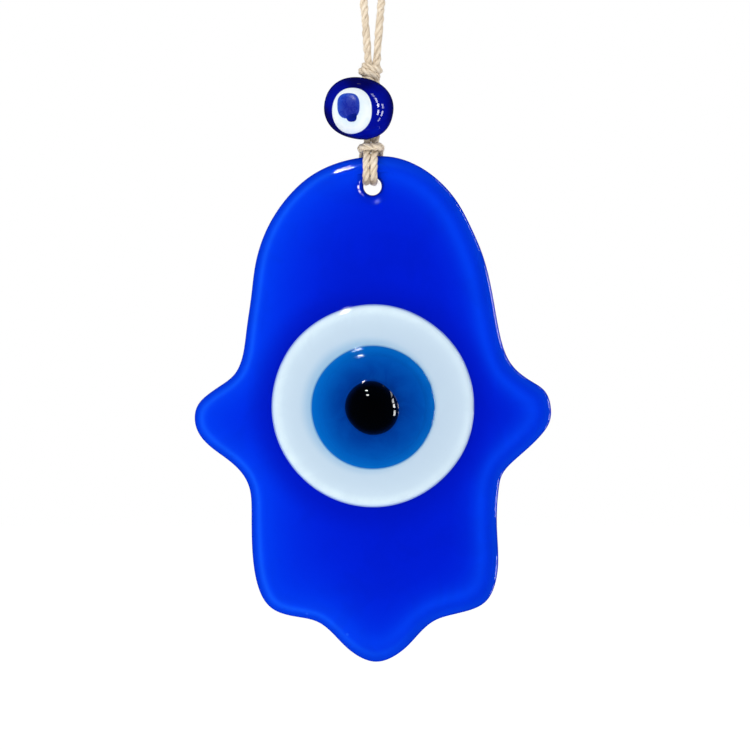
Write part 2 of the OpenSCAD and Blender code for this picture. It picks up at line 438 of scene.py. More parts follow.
def white_material():
    m = Nodes("opal_white_glass")
    place = m.place()
    r, left = m.attr("r"), m.attr("left")
    # pale blue near the iris: the blue's own bleed into the white, with painted glow that reaches furthest and is
    # strongest on the left
    reach = m.span(left, 0.0, 1.0, 13.1, 14.9, False)
    near = m.span(r, 12.2, reach, 1.0, 0.0)
    swirl = m.noise(place, 140.0, 4.0, 0.6, 1.5)
    # painted highlight: a lighter band just inside the rim; past it the edge runs into blue
    base = m.ramp(m.math("DIVIDE", r, 20.0), [
        (0.0, tint(188, 211, 231)), (0.66, tint(190, 212, 232)), (0.80, tint(198, 219, 236)), (0.885, tint(203, 224, 241)),
        (0.93, tint(221, 241, 252)), (0.968, tint(224, 243, 254)), (0.99, tint(190, 214, 250)), (1.0, tint(150, 180, 244))])
    base = m.mix(m.span(left, 0.0, 0.55, 0.38, 0.0), base, tint(190, 209, 228))
    base = m.mix(m.span(swirl, 0.35, 0.7, 0.0, 0.35), base, tint(196, 217, 234))
    base = m.mix(m.math("MULTIPLY", near, m.span(left, 0.0, 1.0, 0.30, 0.55)), base, tint(120, 176, 218))
    specks = m.span(m.voronoi(place, 700.0), 0.04, 0.08, 1.0, 0.0)
    few = m.span(m.noise(place, 90.0, 2.0), 0.60, 0.66, 0.0, 1.0)
    base = m.mix(m.math("MULTIPLY", m.math("MULTIPLY", specks, few), 0.3), base, tint(150, 175, 200))
    base = m.mix(m.span(r, 19.96, 20.08, 0.0, 1.0), base, tint(1, 24, 192))
    m.link(base, m.bsdf.inputs["Base Color"])
    m.link(m.span(m.noise(place, 160.0, 5.0, 0.6), 0.35, 0.75, 0.01, 0.035), m.bsdf.inputs["Roughness"])
    m.bsdf.inputs["IOR"].default_value = 1.5
    m.link(m.bump(m.noise(place, 110.0, 2.0, 0.4), 0.12, 0.0003), m.bsdf.inputs["Normal"])
    return m.mat


def azure_material():
    m = Nodes("azure_glass")
    place = m.place()
    r = m.attr("r")
    swirl = m.noise(place, 170.0, 4.0, 0.6, 1.2)
    d = m.math("ADD", m.math("DIVIDE", r, 12.25), m.math("MULTIPLY", m.math("SUBTRACT", swirl, 0.5), 0.12))
    base = m.ramp(d, [
        (0.0, tint(0, 30, 92)), (0.40, tint(0, 44, 124)), (0.47, tint(0, 54, 143)), (0.62, tint(0, 62, 155)),
        (0.80, tint(0, 74, 168)), (0.92, tint(1, 90, 182)), (0.975, tint(4, 102, 190)), (1.0, tint(8, 106, 190))])
    # painted glow: lighter towards the left edge
    base = m.mix(m.math("MULTIPLY", m.attr("left"), m.span(r, 7.0, 12.0, 0.0, 0.5)), base, tint(0, 104, 200))
    base = m.mix(m.span(swirl, 0.4, 0.7, 0.0, 0.18), base, tint(4, 90, 190))
    # the outermost edge turns pale blue, paler on the left as painted glow
    base = m.mix(m.span(r, 12.08, 12.32, 0.0, 1.0), base, m.mix(m.attr("left"), tint(150, 190, 222), tint(118, 170, 214)))
    m.link(base, m.bsdf.inputs["Base Color"])
    m.link(m.span(m.noise(place, 200.0, 5.0, 0.6), 0.35, 0.75, 0.01, 0.03), m.bsdf.inputs["Roughness"])
    m.bsdf.inputs["IOR"].default_value = 1.5
    m.link(m.bump(m.noise(place, 150.0, 2.0, 0.4), 0.12, 0.0003), m.bsdf.inputs["Normal"])
    return m.mat


def black_material():
    m = Nodes("black_glass")
    place = m.place()
    d = m.math("DIVIDE", m.attr("r"), 5.5)
    swirl = m.noise(place, 260.0, 4.0, 0.6, 1.0)
    d = m.math("ADD", d, m.math("MULTIPLY", m.math("SUBTRACT", swirl, 0.5), 0.12))
    base = m.ramp(d, [(0.0, tint(0, 0, 1)), (0.74, tint(0, 1, 3)), (0.90, tint(0, 4, 18)), (1.0, tint(0, 26, 78))])
    base = m.mix(m.span(m.attr("r"), 5.28, 5.46, 0.0, 1.0), base, tint(1, 54, 142))
    m.link(base, m.bsdf.inputs["Base Color"])
    m.link(m.span(m.noise(place, 300.0, 4.0, 0.6), 0.35, 0.75, 0.03, 0.06), m.bsdf.inputs["Roughness"])
    m.bsdf.inputs["IOR"].default_value = 1.5
    m.link(m.bump(swirl, 0.15, 0.0002), m.bsdf.inputs["Normal"])
    return m.mat


def bead_material():
    m = Nodes("bead_cobalt_glass")
    place = m.place()
    swirl = m.noise(m.stretch(place, (1.0, 1.0, 1.7)), 230.0, 4.0, 0.55, 1.4)
    deep = m.attr("deep")
    tone = m.math("ADD", deep, m.math("MULTIPLY", m.math("SUBTRACT", swirl, 0.5), 0.7))
    base = m.ramp(tone, [(0.0, tint(5, 20, 160)), (0.35, tint(3, 11, 148)), (0.65, tint(4, 9, 124)), (1.0, tint(4, 5, 84))])
    m.link(base, m.bsdf.inputs["Base Color"])
    m.link(m.span(m.noise(place, 400.0, 4.0, 0.6), 0.35, 0.75, 0.012, 0.04), m.bsdf.inputs["Roughness"])
    m.bsdf.inputs["IOR"].default_value = 1.5
    m.link(m.bump(m.noise(m.stretch(place, (1.0, 1.0, 2.2)), 260.0, 2.0, 0.5), 0.16, 0.0003), m.bsdf.inputs["Normal"])
    return m.mat


def bead_white_material():
    m = Nodes("bead_white_glass")
    place = m.place()
    u, left = m.attr("u"), m.attr("left")
    swirl = m.noise(place, 420.0, 3.0, 0.5, 1.0)
    base = m.mix(m.span(swirl, 0.35, 0.7, 0.0, 0.5), tint(246, 253, 255), tint(228, 244, 255))
    near = m.math("MULTIPLY", m.span(u, 0.45, 0.78, 1.0, 0.0), m.span(left, 0.1, 0.9, 0.12, 0.6))
    base = m.mix(near, base, tint(150, 200, 250))
    base = m.mix(m.span(u, 0.95, 1.0, 0.0, 0.55), base, tint(110, 140, 225))
    m.link(base, m.bsdf.inputs["Base Color"])
    m.link(m.span(swirl, 0.3, 0.7, 0.05, 0.1), m.bsdf.inputs["Roughness"])
    m.bsdf.inputs["IOR"].default_value = 1.5
    m.link(m.bump(swirl, 0.15, 0.0002), m.bsdf.inputs["Normal"])
    return m.mat


def bead_blue_material():
    m = Nodes("bead_blue_glass")
    place = m.place()
    u, left = m.attr("u"), m.attr("left")
    swirl = m.noise(place, 520.0, 4.0, 0.6, 1.6)
    edge = m.math("MULTIPLY", u, u)
    # painted sheen: lighter towards the upper left; also lighter towards the edge
    tone = m.math("ADD", m.math("ADD", m.math("MULTIPLY", left, 0.45), m.math("MULTIPLY", edge, 0.45)), m.math("MULTIPLY", m.math("SUBTRACT", swirl, 0.5), 0.7))
    base = m.ramp(tone, [(0.0, tint(4, 24, 148)), (0.25, tint(7, 34, 160)), (0.5, tint(15, 52, 176)), (0.75, tint(32, 74, 196)), (1.0, tint(50, 96, 210))])
    base = m.mix(m.span(u, 0.90, 1.0, 0.0, 0.4), base, tint(80, 130, 225))
    m.link(base, m.bsdf.inputs["Base Color"])
    m.link(m.span(swirl, 0.3, 0.7, 0.24, 0.34), m.bsdf.inputs["Roughness"])
    m.bsdf.inputs["IOR"].default_value = 1.5
    m.link(m.bump(swirl, 0.2, 0.0002), m.bsdf.inputs["Normal"])
    return m.mat


def bead_navy_material():
    m = Nodes("bead_navy_glass")
    place = m.place()
    u = m.attr("u")
    swirl = m.noise(place, 600.0, 4.0, 0.6, 1.6)
    base = m.mix(m.span(swirl, 0.3, 0.7, 0.0, 1.0), tint(5, 18, 104), tint(7, 28, 140))
    base = m.mix(m.math("MULTIPLY", m.attr("left"), m.span(u, 0.2, 1.0, 0.3, 1.0)), base, tint(9, 40, 165))
    m.link(base, m.bsdf.inputs["Base Color"])
    m.link(m.span(swirl, 0.3, 0.7, 0.04, 0.09), m.bsdf.inputs["Roughness"])
    m.bsdf.inputs["IOR"].default_value = 1.5
    m.link(m.bump(swirl, 0.2, 0.0002), m.bsdf.inputs["Normal"])
    return m.mat


def jute_material():
    m = Nodes("jute_cord")
    yarn = m.attr("yarn", True)       # along the cord, round the ply, and which ply, in millimetres
    strands = m.noise(m.stretch(yarn, (0.55, 9.0, 3.1)), 1.0, 4.0, 0.6)
    fine = m.noise(m.stretch(yarn, (1.6, 26.0, 3.1)), 1.0, 3.0, 0.6)
    slow = m.noise(m.stretch(yarn, (0.22, 0.6, 1.3)), 1.0, 3.0, 0.5)
    base = m.ramp(strands, [
        (0.20, (0.49, 0.35, 0.20)), (0.38, (0.74, 0.595, 0.42)), (0.52, (0.87, 0.755, 0.59)), (0.72, (0.95, 0.87, 0.745))])
    base = m.mix(m.span(fine, 0.3, 0.7, 0.0, 0.45), base, (0.95, 0.85, 0.71))
    base = m.mix(m.span(slow, 0.4, 0.75, 0.0, 0.3), base, (0.80, 0.64, 0.44))
    # painted shade: darker in the creases between plies, on the plies' inner sides and at their ends, and where a piece
    # adds more painted shade
    groove = m.attr("groove")
    base = m.mix(m.math("MULTIPLY", groove, 0.72), base, (0.20, 0.13, 0.065))
    m.link(base, m.bsdf.inputs["Base Color"])
    m.link(m.span(fine, 0.3, 0.7, 0.72, 0.95), m.bsdf.inputs["Roughness"])
    m.bsdf.inputs["Specular IOR Level"].default_value = 0.25
    m.bsdf.inputs["Sheen Weight"].default_value = 0.15
    m.bsdf.inputs["Sheen Roughness"].default_value = 0.4
    height = m.math("ADD", fine, m.math("MULTIPLY", strands, 0.8))
    m.link(m.bump(height, 0.6, 0.00012), m.bsdf.inputs["Normal"])
    return m.mat


MAT_COBALT = cobalt_material()
MAT_WHITE = white_material()
MAT_AZURE = azure_material()
MAT_BLACK = black_material()
MAT_BEAD = bead_material()
MAT_BEAD_WHITE = bead_white_material()
MAT_BEAD_BLUE = bead_blue_material()
MAT_BEAD_NAVY = bead_navy_material()
MAT_JUTE = jute_material()


# ---------------------------------------------------------------- jute cord
def even(P, step):
    P = np.asarray(P, float)
    s = np.concatenate([[0], np.cumsum(np.linalg.norm(np.diff(P, axis=0), axis=1))])
    n = max(2, int(round(s[-1] / step)) + 1)
    at = np.linspace(0, s[-1], n)
    return np.stack([np.interp(at, s, P[:, k]) for k in range(3)], axis=1), at


def spline(P, n=12):
    """The open cubic B-spline that part.scad runs its cord along."""
    P = [np.array(p, float) for p in P]
    E = [2 * P[0] - P[1]] + P + [2 * P[-1] - P[-2]]
    out = []
    for i in range(len(P) - 1):
        p, q, r, s = E[i:i + 4]
        for k in range(n):
            t = k / n
            out.append((p * (1 - t) ** 3 + q * (3 * t ** 3 - 6 * t * t + 4) + r * (-3 * t ** 3 + 3 * t * t + 3 * t + 1) + s * t ** 3) / 6)
    out.append(P[-1])
    return np.array(out)


def carried(P, start=(0.0, -1.0, 0.0)):
    """Tangents and frames carried along a line without twist."""
    T = unit(np.gradient(P, axis=0))
    N = np.zeros_like(P)
    u = np.array(start, float)
    for i in range(len(P)):
        u = u - T[i] * (u @ T[i])
        if np.linalg.norm(u) < 1e-6:
            u = np.cross(T[i], [1.0, 0.3, 0.2])
        u = u / np.linalg.norm(u)
        N[i] = u
    return T, N, np.cross(T, N)


def tube_mesh(C, N, B, radius, sides, phase=0.0, groove=0.0, seed=0):
    """Rings round the line C: points, faces, and each point's angle."""
    n = len(C)
    a = np.linspace(0, 2 * math.pi, sides, endpoint=False)[None, :] + phase
    radius = np.broadcast_to(np.asarray(radius, float).reshape(-1, 1), (n, sides)).copy()
    if groove:
        s = np.arange(n)[:, None]
        r = np.random.default_rng(seed)
        k1, k2, k3 = sides // 2, max(3, sides // 3), 3
        radius *= 1 + groove * (np.sin(k1 * a + s * 0.11 + r.uniform(0, 6)) * 0.45
                                + np.sin(k2 * a - s * 0.07 + r.uniform(0, 6)) * 0.6
                                + np.sin(k3 * a + s * 0.031 + r.uniform(0, 6)) * 0.6)
    P = C[:, None, :] + radius[..., None] * (np.cos(a)[..., None] * N[:, None, :] + np.sin(a)[..., None] * B[:, None, :])
    P = P.reshape(-1, 3)
    F = grid_faces(n, sides, True)
    # closed ends
    P = np.vstack([P, C[0], C[-1]])
    for i in range(sides):
        k = (i + 1) % sides
        F.append((n * sides, k, i))
        F.append((n * sides + 1, (n - 1) * sides + i, (n - 1) * sides + k))
    return P, F, a


def yarn(name, P, d=CORD_D, seed=1, plies=3, pitch=5.2, keep=None, whole=True, start=(0.0, -1.0, 0.0),
         fuzz=1.0, hairs=1.0, step=0.13, sides=16, swell=None, shade=None):
    """A laid jute cord along P (millimetres): twisted plies, fibres lying on them and loose hairs.
    keep is the stretch of P's length that this piece holds, so that neighbours join without a seam."""
    C, s = even(P, step)
    T, N, B = carried(C, start)
    total = s[-1]
    lo, hi = keep if keep else (0.0, total)
    r = np.random.default_rng(seed)
    thick = 1 + 0.05 * np.sin(s * 0.9 + r.uniform(0, 6)) + 0.04 * np.sin(s * 2.3 + r.uniform(0, 6)) + 0.03 * np.sin(s * 4.1 + r.uniform(0, 6))
    if swell is not None:
        thick = thick * swell(s)
    off, rp = 0.235 * d * thick, 0.268 * d * thick
    phase0 = r.uniform(0, 6.28)
    wander = 0.35 * np.sin(s * 0.35 + r.uniform(0, 6)) + 0.2 * np.sin(s * 1.1 + r.uniform(0, 6))
    twist = phase0 + 2 * math.pi * s / pitch + wander
    sel = (s >= lo - 1e-6) & (s <= hi + 1e-6)
    verts, faces, coords, painted_shades, base = [], [], [], [], 0
    for k in range(plies):
        w = twist + 2 * math.pi * k / plies
        out = np.cos(w)[:, None] * N + np.sin(w)[:, None] * B
        C2 = C + off[:, None] * out
        T2 = unit(np.gradient(C2, axis=0))
        N2 = unit(out - T2 * (out * T2).sum(1, keepdims=True))
        B2 = np.cross(T2, N2)
        rk = rp * (1 + 0.05 * np.sin(s * 1.7 + r.uniform(0, 6)))
        Pk, Fk, a = tube_mesh(C2[sel], N2[sel], B2[sel], rk[sel], sides, groove=0.055, seed=seed * 7 + k)
        n = int(sel.sum())
        verts.append(Pk)
        faces += [tuple(i + base for i in f) for f in Fk]
        base += len(Pk)
        sk = np.repeat(s[sel], sides)
        ang = np.tile(np.linspace(0, 2 * math.pi, sides, endpoint=False), n)
        wrap = np.abs(((ang + math.pi) % (2 * math.pi)) - math.pi)
        co = np.stack([sk, wrap * d * 0.27, np.full(len(sk), k * 5.0 + seed)], axis=1)
        coords.append(np.vstack([co, [[s[sel][0], 0, k], [s[sel][-1], 0, k]]]))
        # the side of a ply that faces the middle, and the creases between plies, are in shade
        inner = smooth01((wrap - 1.25) / 1.1)
        if shade is not None:
            inner = np.maximum(inner, np.repeat(shade(C[sel]), sides))
        painted_shades.append(np.concatenate([inner, [1, 1]]))
    # fibres: (count, points) lines in cord coordinates (s, angle, distance from the axis)
    def fibre_set(count, lengths, lift, radius, per_ply=True, drift=0.5):
        nonlocal base
        if count < 1:
            return
        K = 9
        f0 = r.uniform(0, total, count)
        ln = r.uniform(*lengths, count)
        ang0 = r.uniform(0, 6.28, count)
        slope = r.normal(0, drift, count)
        wig = r.uniform(0, 6.28, (count, 2))
        up = r.uniform(*lift, count)
        bias = r.choice([-1.0, 1.0], count)
        u = np.linspace(0, 1, K)[None, :]
        ss = f0[:, None] + bias[:, None] * ln[:, None] * u
        tw = np.interp(ss, s, twist)
        th = np.interp(ss, s, thick)
        ang = tw + ang0[:, None] + slope[:, None] * u + 0.25 * np.sin(u * 5 + wig[:, :1])
        # the surface of a laid cord: it bulges over each ply
        lobes = np.abs(((ang - tw) * plies / 2 + math.pi / 2) % math.pi - math.pi / 2) / (math.pi / 2)
        surf = d * th * (0.505 - 0.10 * lobes ** 2)
        rad = surf + 0.012 + up[:, None] * u ** 1.8 + 0.012 * np.sin(u * 7 + wig[:, 1:])
        ok = (f0 >= lo) & (f0 < hi) & (ss.min(1) > -0.2) & (ss.max(1) < total + 0.2)
        px = np.stack([np.interp(ss, s, C[:, i]) for i in range(3)], axis=-1)
        nx = unit(np.stack([np.interp(ss, s, N[:, i]) for i in range(3)], axis=-1))
        bx = unit(np.stack([np.interp(ss, s, B[:, i]) for i in range(3)], axis=-1))
        L = px + rad[..., None] * (np.cos(ang)[..., None] * nx + np.sin(ang)[..., None] * bx)
        L, ang1, ss1 = L[ok], ang[ok], ss[ok]
        if not len(L):
            return
        t = unit(np.gradient(L, axis=1))
        side = unit(np.cross(t, nx[ok] + 0.31 * bx[ok] + 0.01))
        up2 = np.cross(t, side)
        rr = radius * (1 - 0.75 * (u ** 3))[..., None] * r.uniform(0.7, 1.3, (len(L), 1, 1))
        rings = []
        for j in range(3):
            a = 2 * math.pi * j / 3
            rings.append(L + rr * (math.cos(a) * side + math.sin(a) * up2))
        V = np.stack(rings, axis=2)                                   # fibre, point, side
        nf = len(L)
        idx = base + np.arange(nf * K * 3).reshape(nf, K, 3)
        for j in range(3):
            k2 = (j + 1) % 3
            quad = np.stack([idx[:, :-1, j], idx[:, :-1, k2], idx[:, 1:, k2], idx[:, 1:, j]], axis=-1).reshape(-1, 4)
            faces.extend(map(tuple, quad))
        faces.extend(map(tuple, np.stack([idx[:, 0, 2], idx[:, 0, 1], idx[:, 0, 0]], axis=-1)))
        faces.extend(map(tuple, np.stack([idx[:, -1, 0], idx[:, -1, 1], idx[:, -1, 2]], axis=-1)))
        verts.append(V.reshape(-1, 3))
        base += nf * K * 3
        co = np.stack([ss1, r.uniform(0, 3, (nf, 1)) + 0 * ss1, 20 + 0 * ss1], axis=-1)
        coords.append(np.repeat(co, 3, axis=1).reshape(-1, 3))
        painted_shades.append(np.zeros(nf * K * 3) if shade is None else shade(L.reshape(-1, 3)).repeat(3))
    fibre_set(int(total * 9 * fuzz), (1.2, 3.6), (0.0, 0.035), 0.020, drift=0.35)
    fibre_set(int(total * 2.2 * hairs), (0.8, 2.4), (0.10, 0.55), 0.013, drift=0.9)
    return add_mesh(name, np.vstack(verts), faces, MAT_JUTE,
                    [("yarn", np.vstack(coords)), ("groove", np.concatenate(painted_shades))])


# the hanging loop, along the same route as its CAD solid
LOOP_SIDE = [[0.9, 0, -27.7], [1.1, 0, -24], [1.5, 0, -19], [1.9, 0, -14], [2.3, 0, -9], [2.8, 0, -4]]


def loop_route():
    arc = [[BIGHT_R * math.cos(math.radians(a)), 0, BIGHT_R * math.sin(math.radians(a))] for a in np.arange(0, 180.1, 7.5)]
    side = [[0.55, 0, -29.6]] + LOOP_SIDE
    up = spline(side + arc[:1], 10)
    down = up[::-1] * np.array([-1.0, 1.0, 1.0])
    return np.vstack([up, np.array(arc[1:-1]), down])


LOOP = loop_route()
hang_loop = yarn("hang_loop_cord", LOOP, seed=11, start=(0.0, -1.0, 0.0))
hang_loop.visible_glossy = False
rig.ride(hang_loop, "hanger")
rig.replaces(hang_loop, "hang_loop")
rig.slot(hang_loop, "jute_cord")

TAIL = [[0.5, 0, 4.6], [0.9, -0.1, 6], [1.6, -0.3, 7.5], [2.6, -0.4, 9]]

# the cow hitch and the two strands through the bead are one length of yarn, cut where the cord bends
HITCH_SIDE = [
    [0.8, -0.3, 1], [0.8, -0.9, 0.7], [0.8, -1.9, 0], [0.8, -2.7, -1.2], [0.8, -2.9, -2.4],
    [0.8, -2.9, -3.6], [0.8, -2.8, -4.6], [0.8, -1.9, -5.2], [0.8, -0.6, -5.2],
    [0.8, 0.8, -5.2], [0.8, 2.2, -5.2], [0.8, 3.6, -5.2], [1, 4.4, -4.4], [1.4, 4.4, -3.2],
    [1.9, 4.4, -2], [2.2, 4.3, -0.8], [2.4, 3.9, 0.6], [2.5, 2.9, 1.4], [2.5, 1.7, 1.4],
    [2.6, 0.4, 1.4], [2.6, -0.9, 1.5], [2.4, -2, 1.7], [1.6, -2.5, 1.7], [0.6, -2.5, 1.7]]
# drawn tight it lies a little closer, up against the top of the hole and a little left of its middle
HITCH_SIDE = [[0.9 * p[0] - 0.45 * float(smooth01((p[0] - 1.0) / 1.2)), p[1], p[2] + 0.15 * float(smooth01((-3.0 - p[2]) / 2.0))] for p in HITCH_SIDE]
half = [[PAIR_X, 0, KNOT_Z - 1.0], [PAIR_X, 0, -34], [PAIR_X, 0, -38], [PAIR_X, 0, -41], [PAIR_X, 0, -43.4], [PAIR_X, 0, NECK_Z + 0.2]]
half += [[p[0], p[1], p[2] + PLATE_TOP] for p in HITCH_SIDE]
other = [[-p[0], p[1], p[2]] for p in reversed(half)]
LONG = spline(half + other, 10)
LONG[:, 0] -= 0.30 * smooth01((-41.5 - LONG[:, 2]) / 3.0) + 0.20 * smooth01((-45.5 - LONG[:, 2]) / 3.0)
LONG_S = np.concatenate([[0], np.cumsum(np.linalg.norm(np.diff(LONG, axis=0), axis=1))])
first_low = int(np.argmax(LONG[:, 2] < -46.1))
CUT = float(LONG_S[first_low])
TOTAL = float(LONG_S[-1])
hitch = yarn("hitch_cord_yarn", LONG, seed=23, keep=(CUT, TOTAL - CUT),
             # painted shade: darker where it bends into the hole
             shade=lambda C: 0.75 * smooth01((-50.6 - C[:, 2]) / 1.0) * smooth01((-1.2 - C[:, 1]) / 0.4 + 1.0))
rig.ride(hitch, "hitch")
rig.replaces(hitch, "hitch_cord")
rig.slot(hitch, "jute_cord")
for side_name, keep in (("right", (0.0, CUT)), ("left", (TOTAL - CUT, TOTAL))):
    strand = yarn(f"bead_strand_{side_name}", LONG, seed=23, keep=keep)
    strand.visible_glossy = False
    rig.blend(strand, "neck", "hitch", start=(0, 0, (NECK_Z + 0.9) * MM), end=(0, 0, (NECK_Z - 0.9) * MM))
    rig.replaces(strand, "bead_cord")
    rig.slot(strand, "jute_cord")


# ---------------------------------------------------------------- knots
def knot_ball(name, centre, seed, lean, size):
    """A tight overhand knot of the doubled cord: turns laid side by side round the strands."""
    t = np.linspace(0, 1, 160)
    turns = 2.55
    a = -2.2 + 2 * math.pi * turns * t
    z = (t - 0.5) * size
    bulge = 1.36 + 0.22 * np.sin(math.pi * t)
    fade = smooth01(np.minimum(t, 1 - t) / 0.07)
    rad = 0.35 + (bulge - 0.35) * fade
    P = np.stack([rad * np.cos(a), rad * np.sin(a), z], axis=1)
    c, s_ = math.cos(lean), math.sin(lean)
    P = np.stack([c * P[:, 0] + s_ * P[:, 2], P[:, 1], -s_ * P[:, 0] + c * P[:, 2]], axis=1)
    P += np.array(centre)
    return yarn(name, P, d=1.42, seed=seed, pitch=4.6)


hitch.visible_glossy = False
upper_knot = knot_ball("upper_knot_cord", (-0.55, -0.15, KNOT_Z - 0.15), 41, math.radians(30), 3.1)
upper_knot.visible_glossy = False
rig.ride(upper_knot, "knot")
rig.replaces(upper_knot, "upper_knot")
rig.slot(upper_knot, "jute_cord")
end_knot = knot_ball("end_knot_cord", (0.0, 0.0, BIGHT_R + 0.6), 43, math.radians(-20), 2.7)
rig.ride(end_knot, "hanger")
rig.replaces(end_knot, "end_knot")
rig.slot(end_knot, "jute_cord")

tails = []
for i, (sx, dy, dz) in enumerate(((1, 0.0, 0.0), (-1, 0.2, -0.2))):
    pts = [[sx * p[0] - (0.4 if sx < 0 else 0), p[1] + dy, p[2] + dz] for p in [[0.3, 0.0, 3.6]] + TAIL]
    tail = yarn(f"cord_tail_{i + 1}", spline(pts, 10), d=1.42, seed=51 + i, hairs=2.5,
                swell=lambda s: 1 + 0.35 * smooth01((s - 4.6) / 1.6))
    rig.ride(tail, "hanger")
    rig.replaces(tail, "cord_tails")
    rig.slot(tail, "jute_cord")
    tails.append(tail)

loop_even, _ = even(LOOP, 0.4)
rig.cord(hang_loop, exit=tuple(LOOP[0] * MM), length=float(np.linalg.norm(np.diff(LOOP, axis=0), axis=1).sum()) * MM,
        diameter=CORD_D * MM, far_end="object", stiffness="limp", lay="taut",
        path=(loop_even * MM).tolist(), with_pieces=[end_knot, *tails])


# ---------------------------------------------------------------- hand plate
HAND = [
    [-0.5, 50], [4.5, 50], [9.5, 48], [13.5, 45], [17, 41],
    [19.5, 36], [22, 30.5], [23.5, 24.5], [24.5, 18.5], [25.5, 13],
    [27, 9], [29.5, 6.5], [32, 5], [34.5, 3.5], [35.5, 0.5],
    [35.5, -2.5], [34, -5], [31, -8], [28, -10.5], [25.5, -13],
    [25, -16], [24.5, -22], [25, -28], [25, -33], [23.5, -38],
    [20.5, -40], [16, -41], [12, -42], [9, -45], [6.5, -48],
    [2.5, -50.5], [-1, -50.5], [-5, -48], [-8, -44.5], [-11, -42],
    [-15.5, -41.5], [-19.5, -40.5], [-22, -38], [-23.5, -33], [-24, -27],
    [-24, -21], [-24, -16], [-26, -12.5], [-29, -10], [-32, -8],
    [-34.5, -5.5], [-35.5, -2.5], [-35, 0.5], [-33, 2.5], [-30, 4.5],
    [-27, 6.5], [-25.5, 10.5], [-25, 16], [-24, 22], [-23.5, 28],
    [-22, 33.5], [-19.5, 38.5], [-16, 43], [-12, 46.5], [-6.5, 49]]


def hand_outline(n):
    P = np.array(HAND, float)
    out = []
    m = len(P)
    for i in range(m):
        p, q, r, s = P[i], P[(i + 1) % m], P[(i + 2) % m], P[(i + 3) % m]
        for k in range(n):
            t = k / n
            out.append((p * (1 - t) ** 3 + q * (3 * t ** 3 - 6 * t * t + 4) + r * (-3 * t ** 3 + 3 * t * t + 3 * t + 1) + s * t ** 3) / 6)
    return np.array(out)


def rim_distance(xz, Q):
    """How far points are from the outline."""
    a, b = Q, np.roll(Q, -1, axis=0)
    best = np.full(len(xz), 1e9)
    for i in range(0, len(xz), 4000):
        p = xz[i:i + 4000, None, :]
        d = b - a
        t = np.clip(((p - a) * d).sum(-1) / (d * d).sum(-1), 0, 1)
        best[i:i + 4000] = np.linalg.norm(p - a - t[..., None] * d, axis=-1).min(1)
    return best


def soft_distance(xz, Q):
    """Distance from a long straight rim, without the ridges that the nearest-point distance has: it comes from the whole
    outline's pull, which falls with the fourth power."""
    seg = np.linalg.norm(np.roll(Q, -1, axis=0) - Q, axis=1)
    out = np.zeros(len(xz))
    for i in range(0, len(xz), 3000):
        r2 = ((xz[i:i + 3000, None, :] - Q[None]) ** 2).sum(-1)
        out[i:i + 3000] = ((math.pi / 2) / (seg / np.maximum(r2, 1e-4) ** 2).sum(1)) ** (1 / 3)
    return out


def inside(xz, Q):
    x, y = xz[:, 0], xz[:, 1]
    hit = np.zeros(len(xz), bool)
    j = len(Q) - 1
    for i in range(len(Q)):
        xi, yi, xj, yj = Q[i, 0], Q[i, 1], Q[j, 0], Q[j, 1]
        cross = ((yi > y) != (yj > y)) & (x < (xj - xi) * (y - yi) / (yj - yi + 1e-15) + xi)
        hit ^= cross
        j = i
    return hit


def turned(x, y, moves):
    """An edge drawn inward from (x, y). Each move bends its slope from one angle to another, in degrees, on a radius;
    a move between equal angles is straight, and its last number is its length."""
    out = []
    for a, b, size in moves:
        n = max(3, int(abs(b - a) / 2.5))
        arc = (size if a == b else size * math.radians(abs(b - a))) / n
        for k in range(n):
            mid = math.radians(a + (b - a) * (k + 0.5) / n)
            x, y = x - arc * math.cos(mid), y + arc * math.sin(mid)
            out.append((x, y))
    return out


